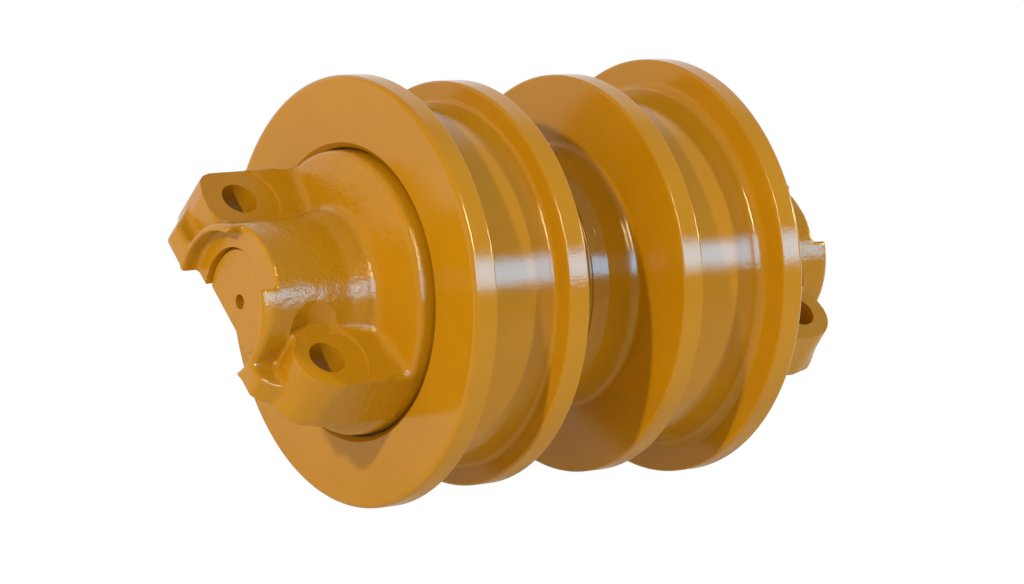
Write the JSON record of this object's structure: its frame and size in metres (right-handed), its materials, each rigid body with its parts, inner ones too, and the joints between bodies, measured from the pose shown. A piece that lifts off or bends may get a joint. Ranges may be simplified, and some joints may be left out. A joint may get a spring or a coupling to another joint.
{
  "type": "double flange track roller",
  "caption": "Crawler track roller: steel shell with inner and outer flanges turning on a fixed shaft between two cast end collars with bolt ears.",
  "frame": {"origin": "centre of the roller on the shaft axis, half way between the two end collars", "axes": "+Y along the shaft; +Z from the mounting pads towards the bolt heads, so the machine's track frame is on the -Z side; +X across, through the bolt ears"},
  "size_m": [0.28, 0.464, 0.28],
  "materials": {
    "shell_enamel": "glossy yellow-orange machine enamel on forged steel",
    "collar_enamel": "glossy yellow-orange machine enamel on a steel casting",
    "shaft_steel": "ground induction-hardened steel, enamelled on the two end faces",
    "plug_steel": "plain turned steel",
    "bush_bronze": "bored bearing bronze",
    "seal_iron": "lapped hard iron",
    "seal_rubber": "black nitrile rubber"
  },
  "bodies": {
    "fixed_side": {"shaft": "shaft_steel", "oil_plug": "plug_steel", "collar_left": "collar_enamel", "collar_right": "collar_enamel", "collar_pin_left": "plug_steel", "collar_pin_right": "plug_steel", "collar_oring_left": "seal_rubber", "collar_oring_right": "seal_rubber", "fixed_seal_ring_left": "seal_iron", "fixed_seal_ring_right": "seal_iron", "fixed_toric_left": "seal_rubber", "fixed_toric_right": "seal_rubber"},
    "roller": {"shell_left": "shell_enamel", "shell_right": "shell_enamel", "weld_bead": "shell_enamel", "bush_left": "bush_bronze", "bush_right": "bush_bronze", "rotating_seal_ring_left": "seal_iron", "rotating_seal_ring_right": "seal_iron", "rotating_toric_left": "seal_rubber", "rotating_toric_right": "seal_rubber"}
  },
  "joints": [
    {"name": "roller_spin", "type": "hinge", "parent": "fixed_side", "child": "roller", "pos_m": [0, 0, 0], "axis": [0, 1, 0], "continuous": true}
  ]
}
